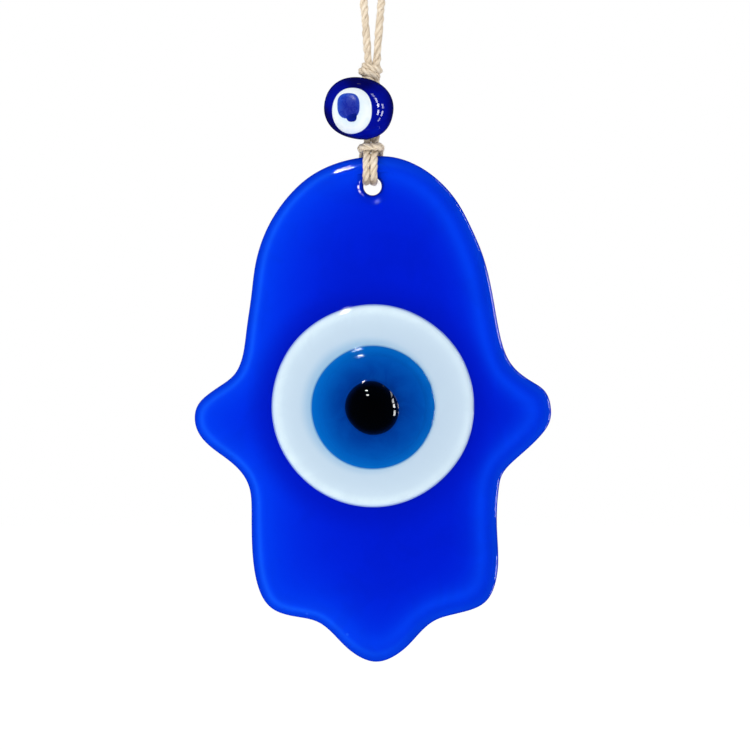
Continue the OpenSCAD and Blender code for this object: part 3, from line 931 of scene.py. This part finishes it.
def hand_plate():
    Q = hand_outline(8)                              # clockwise from the front, relative to the plate's middle
    m = len(Q)
    d = unit(np.roll(Q, -1, axis=0) - np.roll(Q, 1, axis=0))
    inward = np.stack([d[:, 1], -d[:, 0]], axis=1)
    centre = np.array([PLATE_C[0], PLATE_C[2]])
    rb = 0.8                                         # back rim rounding
    hole = np.array([0.0, HOLE_Z]) - centre
    rings, y_of = [], []
    # back face edge, round the back corner, up the side, round the front rim
    for a in np.radians([90, 67.5, 45, 22.5, 0]):
        rings.append(rb - rb * math.cos(a) + (0.6 if a > 1.5 else 0.0))
        y_of.append(BACK_Y - rb + rb * math.sin(a))
    rings.append(0.0)
    y_of.append((BACK_Y - rb + FRONT_Y + 1.9) / 2)
    # round the front corner, up a bevel and over a long gentle shoulder
    edge = turned(0.0, 0.0, [(90, 29, 0.85), (29, 29, 0.85), (29, 17.5, 2.2), (17.5, 0, 5.6)])
    rings.append(0.0)
    y_of.append(FRONT_Y + edge[-1][1])
    for x, y in edge:
        rings.append(-x)
        y_of.append(FRONT_Y + edge[-1][1] - y)
    V, rim = [], []
    for g, y in zip(rings, y_of):
        q = Q + inward * g
        V.append(np.stack([q[:, 0], np.full(m, y), q[:, 1]], axis=1))
    nr = len(rings)
    faces = grid_faces(nr, m, True, 0, flip=False)
    V = np.vstack(V)

    # front and back faces: a fine triangle net inside the last ring, with rings round the hole
    def face_net(ring_xz, ring_ids, hole_r, hole_ids, spacing, flip):
        nonlocal V
        xs = np.arange(-37, 37, spacing)
        zs = np.arange(-52, 52, spacing * 0.866)
        pts = np.array([[x + (spacing / 2 if k % 2 else 0), z] for k, z in enumerate(zs) for x in xs])
        keep = inside(pts, ring_xz)
        pts = pts[keep]
        pts = pts[rim_distance(pts, ring_xz) > spacing * 0.6]
        pts = pts[np.linalg.norm(pts - hole, axis=1) > hole_r + spacing * 0.6]
        n0, n1 = len(ring_xz), len(hole_ids)
        hx = np.array([V[i][[0, 2]] for i in hole_ids])
        coords = np.vstack([ring_xz, hx, pts])
        edges = [(i, (i + 1) % n0) for i in range(n0)] + [(n0 + i, n0 + (i + 1) % n1) for i in range(n1)]
        res = geometry.delaunay_2d_cdt([Vector(c) for c in coords], edges, [], 0, 1e-7)
        verts, tris, orig = res[0], res[2], res[3]
        start = len(V)
        ids = {}
        new = []
        for i, o in enumerate(orig):
            low = min(o) if o else None
            if low is not None and low < n0:
                ids[i] = ring_ids[low]
            elif low is not None and low < n0 + n1:
                ids[i] = hole_ids[low - n0]
            else:
                ids[i] = start + len(new)
                new.append([verts[i][0], 0.0, verts[i][1]])
        co = np.array([[v[0], v[1]] for v in verts])
        cen = np.array([co[list(t)].mean(0) for t in tris])
        ok = inside(cen, ring_xz) & (np.linalg.norm(cen - hole, axis=1) > hole_r * 0.985)
        V = np.vstack([V, np.array(new)])
        out = []
        for t, good in zip(tris, ok):
            if not good:
                continue
            a, b, c = t
            area = (co[b][0] - co[a][0]) * (co[c][1] - co[a][1]) - (co[c][0] - co[a][0]) * (co[b][1] - co[a][1])
            if (area < 0) != flip:
                b, c = c, b
            out.append((ids[a], ids[b], ids[c]))
        return out, start

    # the hole: dimple, rounded lip, bore and back lip, as rings from the front face to the back face
    seg = 72
    ang = np.linspace(0, 2 * math.pi, seg, endpoint=False)
    prof = []
    prof += [(4.7, FRONT_Y), (4.45, FRONT_Y)]
    prof += turned(4.25, FRONT_Y, [(0, 18, 2.0), (18, 28, 3.2), (28, 34, 1.5), (34, 34, 0.45)])
    y_lip = prof[-1][1]
    for a in np.radians([15, 30, 45, 60, 75, 90]):
        prof.append((2.1 + 0.5 * (1 - math.sin(a)), y_lip + 0.34 * math.sin(a) + 0.55 * (1 - math.cos(a))))
    for r, y in ((2.0, 0.0), (1.88, 0.5), (1.8, 1.1), (1.82, 1.7), (1.95, 2.3)):
        prof.append((r, y))
    for a in np.radians([0, 30, 60, 90]):
        prof.append((2.1 + 0.4 * (1 - math.cos(a)), BACK_Y - 0.4 + 0.4 * math.sin(a)))
    prof.append((3.3, BACK_Y))
    start = len(V)
    H = []
    for r, y in prof:
        H.append(np.stack([hole[0] + r * np.cos(ang), np.full(seg, y), hole[1] + r * np.sin(ang)], axis=1))
    V = np.vstack([V, *H])
    faces += grid_faces(len(prof), seg, True, start, flip=False)
    front_ring = list(range((nr - 1) * m, nr * m))
    back_ring = list(range(0, m))
    f1, s1 = face_net(V[front_ring][:, [0, 2]], front_ring, 4.7, list(range(start, start + seg)), 0.85, True)
    V[s1:, 1] = FRONT_Y
    f2, s2 = face_net(V[back_ring][:, [0, 2]], back_ring, 3.3, list(range(start + (len(prof) - 1) * seg, start + len(prof) * seg)), 1.6, False)
    V[s2:, 1] = BACK_Y
    faces += f1 + f2
    xz = V[:, [0, 2]]
    dist = rim_distance(xz, Q)
    on_outline = np.zeros(len(V), bool)
    frontness = smooth01((1.2 - V[:, 1]) / 3.0)
    # a softened, slightly pillowed and uneven front, thickest a little inside the rim
    V[:, 1] += frontness * (0.16 * np.exp(-dist / 3.2) + 0.028 * waves(V * np.array([1, 0, 1]), 5, 26.0, 2) - 0.02)
    V[:, 1] += (1 - frontness) * smooth01((V[:, 1] - 2.2) / 1.0) * 0.03 * waves(V * np.array([1, 0, 1]), 6, 18.0, 3)
    # the rim's painted light band is crisp on the left and broad on the right
    soft = soft_distance(xz, hand_outline(30))
    w = smooth01((dist - 0.7) / 1.6)
    dist = dist * (1 - w) + soft * w
    side = smooth01(0.5 - xz[:, 0] / 34)
    back = smooth01((V[:, 1] - 2.75) / 0.35)
    near_eye = np.hypot(xz[:, 0], xz[:, 1] - (EYE_Z - PLATE_C[2]))
    near_eye = 1 - smooth01((near_eye - 20.2) / 6.0)
    V += PLATE_C * np.array([1, 0, 1])
    return add_mesh("hand_plate_glass", V, faces, MAT_COBALT,
                    [("rim", dist), ("side", side), ("back", back), ("near_eye", near_eye)])


plate = hand_plate()
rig.ride(plate, "hand")
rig.replaces(plate, "hand_plate")
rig.slot(plate, "cobalt_glass")


# ---------------------------------------------------------------- the eye's three layers
def disc(name, material, centre, y0, profile, wobble, seed, seg=200, ripple=0.0, shape=None, sag=None):
    """A fused glass disc: profile points (radius, height above y0) from the middle of its underside
    out and round to the middle of its top, with an uneven edge."""
    r = np.random.default_rng(seed)
    a = np.linspace(0, 2 * math.pi, seg, endpoint=False)
    uneven = sum(r.normal() / k ** 0.8 * np.cos(k * a + r.uniform(0, 6.28)) for k in range(2, 8))
    uneven = wobble * uneven / max(np.abs(uneven).max(), 1e-9)
    if shape is not None:
        uneven = uneven + shape(a)
    rows, rad = [], []
    outer = max(p[0] for p in profile)
    for rr, h in profile[1:-1]:
        w = uneven * (rr / outer) ** 2
        if sag is not None and h > 0:                # lower on one side
            h = h * (1 - sag(a) * smooth01(rr / 4.4))
        rows.append(np.stack([(rr + w) * np.cos(a), np.full(seg, y0 - h), (rr + w) * np.sin(a)], axis=1))
        rad.append(np.full(seg, rr))
    n = len(rows)
    V = np.vstack(rows + [[[0, y0 - profile[0][1], 0]], [[0, y0 - profile[-1][1], 0]]])
    rad = np.concatenate(rad + [[0.0], [0.0]])
    faces = grid_faces(n, seg, True, 0, flip=False)
    for i in range(seg):
        k = (i + 1) % seg
        faces.append((n * seg, k, i))
        faces.append((n * seg + 1, (n - 1) * seg + i, (n - 1) * seg + k))
    if ripple:
        top = smooth01((y0 - V[:, 1]) / 0.4)
        V[:, 1] += ripple * top * waves(V * np.array([1, 0, 1]), seed + 3, 16.0, 2)
    left = 0.5 - 0.5 * V[:, 0] / np.maximum(np.hypot(V[:, 0], V[:, 2]), 1e-6)
    V = V + np.array([centre[0], 0, centre[1]])
    return add_mesh(name, V, faces, material, [("r", rad), ("left", left)])


def disc_profile(R, foot, moves, sink=0.35, dish=0.0, dish_r=0.0):
    """Underside, the foot where the layer has run out on the one below, a turned edge and a slightly dished top."""
    p = [(0.0, -sink)] + [(R * f, -sink) for f in (0.5, 0.9, 0.985)] + [(R + foot, -0.02)]
    p += turned(R + foot, -0.02, moves)
    r_in, h = p[-1]
    for r in np.linspace(r_in, 0.6, 30)[1:]:
        p.append((r, h - dish * float(smooth01((dish_r - r) / 4.0))))
    p.append((0.0, h - dish))
    return p


white = disc("eye_white_glass", MAT_WHITE, (0.08, EYE_Z + 0.2), FRONT_Y,
             disc_profile(19.95, 0.70, [(0, 18, 0.6), (18, 28, 2.5), (28, 70, 0.25), (70, 70, 0.36), (70, 28, 0.3), (28, 18, 2.5), (18, 0, 0.8)],
                          dish=0.06, dish_r=18.4), 0.07, 71, 288, ripple=0.02)
iris = disc("eye_iris_glass", MAT_AZURE, (0.15, EYE_Z - 0.12), FRONT_Y - 1.0,
            disc_profile(12.15, 0.27, [(0, 18, 0.3), (18, 28, 0.6), (28, 60, 0.2), (60, 28, 0.25), (28, 18, 2.2), (18, 3, 0.5),
                                       (3, 3, 0.8), (3, 28, 0.45), (28, 18, 2.2), (18, 0, 0.6)],
                         dish=0.04, dish_r=9.0), 0.07, 73, 240, ripple=0.012)


def pupil_profile():
    """A drop of glass: a small run-out foot and a dome."""
    edge = turned(5.72, -0.02, [(0, 18, 0.25), (18, 28, 1.8), (28, 43, 0.3), (43, 1.5, 7.5)])
    return [(0.0, -0.3), (2.6, -0.3), (4.9, -0.3), (5.72, -0.02)] + edge + [(0.0, edge[-1][1])]


def pupil_shape(a):
    """A hand-dropped dot: flattened at its upper right and lower left, fuller at its lower right."""
    def lump(at, width):
        return np.exp(-((((np.degrees(a) - at + 180) % 360) - 180) / width) ** 2)
    return -0.42 * lump(42, 34) - 0.26 * lump(225, 30) + 0.20 * lump(312, 30) + 0.06 * lump(120, 30)


def pupil_sag(a):
    return 0.34 * np.exp(-((((np.degrees(a) - 50 + 180) % 360) - 180) / 26) ** 2)


pupil = disc("eye_pupil_glass", MAT_BLACK, (-0.1, EYE_Z - 0.2), FRONT_Y - 1.63, pupil_profile(), 0.03, 79, 180, shape=pupil_shape,
             sag=pupil_sag)
for piece, node, slot in ((white, "eye_white", "opal_white_glass"), (iris, "eye_iris", "azure_glass"), (pupil, "eye_pupil", "black_glass")):
    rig.ride(piece, "hand")
    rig.replaces(piece, node)
    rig.slot(piece, slot)

# ---------------------------------------------------------------- bead
BEAD_A, BEAD_B, LEAN = 6.9, 6.1, math.radians(12)


def bead_field(p):
    """Below 1 inside the bead's shape and above 1 outside."""
    q = p - BEAD_C
    c, s = math.cos(LEAN), math.sin(LEAN)
    x = c * q[..., 0] - s * q[..., 2]
    z = s * q[..., 0] + c * q[..., 2]
    rho = np.hypot(x, q[..., 1])
    return (rho / BEAD_A) ** (2 / 0.9) + (np.abs(z) / BEAD_B) ** (2 / 0.95)


def bead_hit(origin, direction, reach=16.0):
    """How far along direction from origin, inside the bead, its surface is."""
    lo, hi = np.zeros(direction.shape[:-1]), np.full(direction.shape[:-1], reach)
    for _ in range(44):
        mid = (lo + hi) / 2
        out = bead_field(origin + mid[..., None] * direction) > 1
        hi, lo = np.where(out, mid, hi), np.where(out, lo, mid)
    return (lo + hi) / 2


def bead_normal(p):
    e = 1e-3
    g = np.stack([bead_field(p + np.eye(3)[i] * e) - bead_field(p - np.eye(3)[i] * e) for i in range(3)], axis=-1)
    return unit(g)


def bead_body():
    """The bead's outside from mouth to mouth as rings of rays from its bore, with rounded mouths and the bore itself."""
    seg, rows, rb, lip = 160, 84, 1.8, 0.55
    phi = np.linspace(0, 2 * math.pi, seg, endpoint=False)
    zc = BEAD_C[2]
    o = np.array([0.0, 0.0, zc])
    ring = np.stack([np.cos(phi), np.sin(phi)], axis=1)
    ends = []
    for s in (1, -1):
        # the height where the surface meets the mouth's rounding
        base = np.stack([ring[:, 0] * (rb + lip), ring[:, 1] * (rb + lip), np.full(seg, zc)], axis=1)
        d = np.tile([0.0, 0.0, float(s)], (seg, 1))
        z = zc + s * bead_hit(base, d)
        ends.append(np.arctan2(z - zc, rb + lip))
    V = []
    for j in range(rows):
        t = j / (rows - 1)
        el = ends[0] * (1 - t) + ends[1] * t
        d = np.stack([np.cos(el) * ring[:, 0], np.cos(el) * ring[:, 1], np.sin(el)], axis=1)
        p = o + bead_hit(np.tile(o, (seg, 1)), d)[:, None] * d
        n = bead_normal(p)
        V.append(p + n * (0.045 * waves(p, 91, 9.0, 2))[:, None] * (1 if 0 < j < rows - 1 else 0))
    # round into the bore at both ends
    top, bottom = V[0], V[-1]
    def mouth(edge, s):
        out = []
        for a in np.radians([25, 50, 75, 90]):
            r = rb + lip * (1 - math.sin(a))
            out.append(np.stack([ring[:, 0] * r, ring[:, 1] * r, edge[:, 2] - s * lip * (1 - math.cos(a)) * 0.9 + s * 0.12 * math.sin(a)], axis=1))
        return out
    up, down = mouth(top, 1), mouth(bottom, -1)
    inner = [up[-1] * (1 - t) + down[-1] * t for t in (0.12, 0.5, 0.88)]
    for q in inner:
        q[:, 0], q[:, 1] = ring[:, 0] * rb, ring[:, 1] * rb
    loops = V + down + inner[::-1] + up[::-1]
    n = len(loops)
    P = np.vstack(loops)
    faces = []
    for j in range(n):
        for i in range(seg):
            k = (i + 1) % seg
            a, b = j * seg + i, j * seg + k
            c, d = ((j + 1) % n) * seg + k, ((j + 1) % n) * seg + i
            faces.append((a, d, c, b))
    q = P - BEAD_C
    # darker over the top's middle, down the left edge, along the bottom and at the right edge
    deep = np.exp(-((q[:, 0] - 0.3) / 3.6) ** 2) * smooth01((q[:, 2] - 1.2) / 3.6) * 1.0
    deep += 0.85 * smooth01((-q[:, 0] - q[:, 2] * 0.8 - 5.0) / 3.2)
    deep += 0.35 * smooth01((-q[:, 2] - 3.2) / 2.0) * smooth01((3.5 - q[:, 0]) / 4.0)
    deep += 0.65 * smooth01((q[:, 0] - 5.0) / 1.8)
    deep += 0.15
    return add_mesh("bead_glass", P, faces, MAT_BEAD, [("deep", np.clip(deep, 0, 1))])


def bead_dot(name, material, centre, half_size, power, height, under, seed, wobble, tilt=0.0, seg=120, rings=16):
    """A dot of glass melted onto the bead: its outline is set as seen from the front, and it follows the bead's surface."""
    r = np.random.default_rng(seed)
    a = np.linspace(0, 2 * math.pi, seg, endpoint=False)
    uneven = 1 + wobble * sum(r.normal() / k * np.cos(k * a + r.uniform(0, 6.28)) for k in range(2, 6))
    rad = (np.abs(np.cos(a)) ** power + np.abs(np.sin(a)) ** power) ** (-1 / power) * uneven
    x0, z0 = half_size[0] * rad * np.cos(a), half_size[1] * rad * np.sin(a)
    ct, st = math.cos(tilt), math.sin(tilt)
    x0, z0 = ct * x0 + st * z0, -st * x0 + ct * z0
    us = np.concatenate([[0.0], np.sin(np.linspace(0, math.pi / 2, rings))[1:]])

    def layer(u, h):
        o = np.stack([centre[0] + u * x0, np.full(seg, BEAD_C[1]), centre[1] + u * z0], axis=1)
        d = np.tile([0.0, -1.0, 0.0], (seg, 1))
        p = o + bead_hit(o, d)[:, None] * d
        return p + bead_normal(p) * h
    rows, U = [], []
    for u in us[1:]:
        h = under + (height * (1 - u ** 5) ** 0.6 if u < 1 else -0.10)
        rows.append(layer(u, h))
        U.append(np.full(seg, u))
    rows = rows[::-1]
    U = U[::-1]
    for u in (0.97, 0.6, 0.2):
        rows.insert(0, layer(u, under - 0.42))
        U.insert(0, np.full(seg, u))
    rows = [rows[2], rows[1], rows[0]] + rows[3:]
    U = [U[2], U[1], U[0]] + U[3:]
    n = len(rows)
    V = np.vstack(rows + [layer(0.0, under - 0.42)[:1], layer(0.0, under + height)[:1]])
    U = np.concatenate(U + [[0.0], [0.0]])
    faces = grid_faces(n, seg, True, 0, flip=False)
    for i in range(seg):
        k = (i + 1) % seg
        faces.append((n * seg, k, i))
        faces.append((n * seg + 1, (n - 1) * seg + i, (n - 1) * seg + k))
    x, z = V[:, 0] - centre[0], V[:, 2] - centre[1]
    left = np.clip(0.5 + 0.5 * (-x / half_size[0] * 0.75 + z / half_size[1] * 0.65), 0, 1)
    return add_mesh(name, V, faces, material, [("u", U), ("left", left)])


bead = bead_body()
dot_white = bead_dot("bead_white_glass", MAT_BEAD_WHITE, (-4.0, -38.05), (3.9, 4.48), 2.15, 0.30, 0.04, 101, 0.012)
dot_blue = bead_dot("bead_blue_glass", MAT_BEAD_BLUE, (-4.62, -37.2), (2.12, 2.40), 2.7, 0.24, 0.30, 103, 0.02)
dot_navy = bead_dot("bead_navy_glass", MAT_BEAD_NAVY, (-4.02, -39.1), (0.98, 1.05), 2.4, 0.10, 0.42, 107, 0.05)
for piece, node, slot in ((bead, "bead_body", "bead_cobalt_glass"), (dot_white, "bead_white", "opal_white_glass"),
                          (dot_blue, "bead_iris", "bead_blue_glass"), (dot_navy, "bead_pupil", "bead_navy_glass")):
    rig.ride(piece, "bead")
    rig.replaces(piece, node)
    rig.slot(piece, slot)


# ---------------------------------------------------------------- studio
def studio():
    floor_mat = Nodes("studio_floor")
    place = floor_mat.place()
    tone = floor_mat.span(floor_mat.noise(place, 3.0, 4.0, 0.6), 0.3, 0.7, 0.0, 1.0)
    floor_mat.link(floor_mat.mix(tone, (0.93, 0.93, 0.92), (0.96, 0.96, 0.955)), floor_mat.bsdf.inputs["Base Color"])
    floor_mat.link(floor_mat.span(floor_mat.noise(place, 40.0, 3.0), 0.3, 0.7, 0.75, 0.9), floor_mat.bsdf.inputs["Roughness"])
    floor_mat.bsdf.inputs["Emission Color"].default_value = (1.0, 1.0, 1.0, 1.0)
    floor_mat.bsdf.inputs["Emission Strength"].default_value = 0.56
    me = bpy.data.meshes.new("studio_floor")
    me.from_pydata([(-6, -6, -0.32), (6, -6, -0.32), (6, 6, -0.32), (-6, 6, -0.32)], [], [(0, 1, 2, 3)])
    floor = bpy.data.objects.new("studio_floor", me)
    me.materials.append(floor_mat.mat)
    scene.collection.objects.link(floor)
    floor.visible_glossy = False
    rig.stage(floor)

    world = bpy.data.worlds.new("studio")
    scene.world = world
    world.use_nodes = True
    t = world.node_tree
    t.nodes.clear()
    out = t.nodes.new("ShaderNodeOutputWorld")
    paths = t.nodes.new("ShaderNodeLightPath")
    def background(color, strength):
        n = t.nodes.new("ShaderNodeBackground")
        n.inputs[0].default_value = (*color, 1.0)
        n.inputs[1].default_value = strength
        return n.outputs[0]
    seen, ambient, mirrored = background((1, 1, 1), 1.0), background((1.0, 1.0, 1.0), 0.55), background((0.75, 0.85, 1.0), 0.012)
    m1, m2 = t.nodes.new("ShaderNodeMixShader"), t.nodes.new("ShaderNodeMixShader")
    t.links.new(paths.outputs["Is Glossy Ray"], m1.inputs[0])
    t.links.new(ambient, m1.inputs[1])
    t.links.new(mirrored, m1.inputs[2])
    t.links.new(paths.outputs["Is Camera Ray"], m2.inputs[0])
    t.links.new(m1.outputs[0], m2.inputs[1])
    t.links.new(seen, m2.inputs[2])
    t.links.new(m2.outputs[0], out.inputs[0])

    target = Vector((0.0, 0.0, -0.085))

    def lamp(name, direction, distance, size, watts, glossy=True, color=(1, 1, 1), at=target, size_y=None):
        data = bpy.data.lights.new(name, "AREA")
        data.shape = "RECTANGLE" if size_y else "DISK"
        data.size = size
        if size_y:
            data.size_y = size_y
        data.energy = watts
        data.color = color
        ob = bpy.data.objects.new(name, data)
        scene.collection.objects.link(ob)
        d = Vector(direction).normalized()
        ob.location = at + d * distance
        ob.rotation_mode = "QUATERNION"
        ob.rotation_quaternion = d.to_track_quat("Z", "Y")
        ob.visible_camera = False
        ob.visible_glossy = glossy
        return ob

    # a small lamp with two tubes above, a little to the left
    for name, el in (("key_tube", 38), ("key_tube_high", 53)):
        a, b = math.radians(16.0), math.radians(el)
        tube = lamp(name, (-math.sin(a) * math.sin(b), -math.cos(b), math.cos(a) * math.sin(b)), 1.1, 0.125, 1.35, size_y=0.013)
        tube.visible_diffuse = False                 # only its mirror image; the next lamp gives its light
    lamp("key_light", (-0.174, -0.695, 0.698), 1.1, 0.12, 2.0, glossy=False)
    # broad soft fill that lights but isn't mirrored
    lamp("soft_fill", (-0.35, -0.8, 0.5), 1.6, 1.4, 8.0, glossy=False)
    # a window at the right, mirrored only: two columns of panes
    for i, (el, az, bright) in enumerate(((44, 68, 5), (27, 69, 12), (10, 70, 22), (-10, 71, 16), (8, 87, 7), (-10, 87, 10), (-27, 86, 6))):
        e, z = math.radians(el), math.radians(az)
        pane = lamp(f"window_pane_{i + 1}", (math.sin(z) * math.cos(e), -math.cos(z) * math.cos(e), math.sin(e)), 1.1, 0.13,
                    bright * math.pi * 0.13 * 0.24, size_y=0.24)
        pane.visible_diffuse = False


studio()

lo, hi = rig.bounds()
with open("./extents.json", "w") as f:
    json.dump({"cad": [list(CAD_BOX[0]), list(CAD_BOX[1])], "visual": [list(lo), list(hi)]}, f)
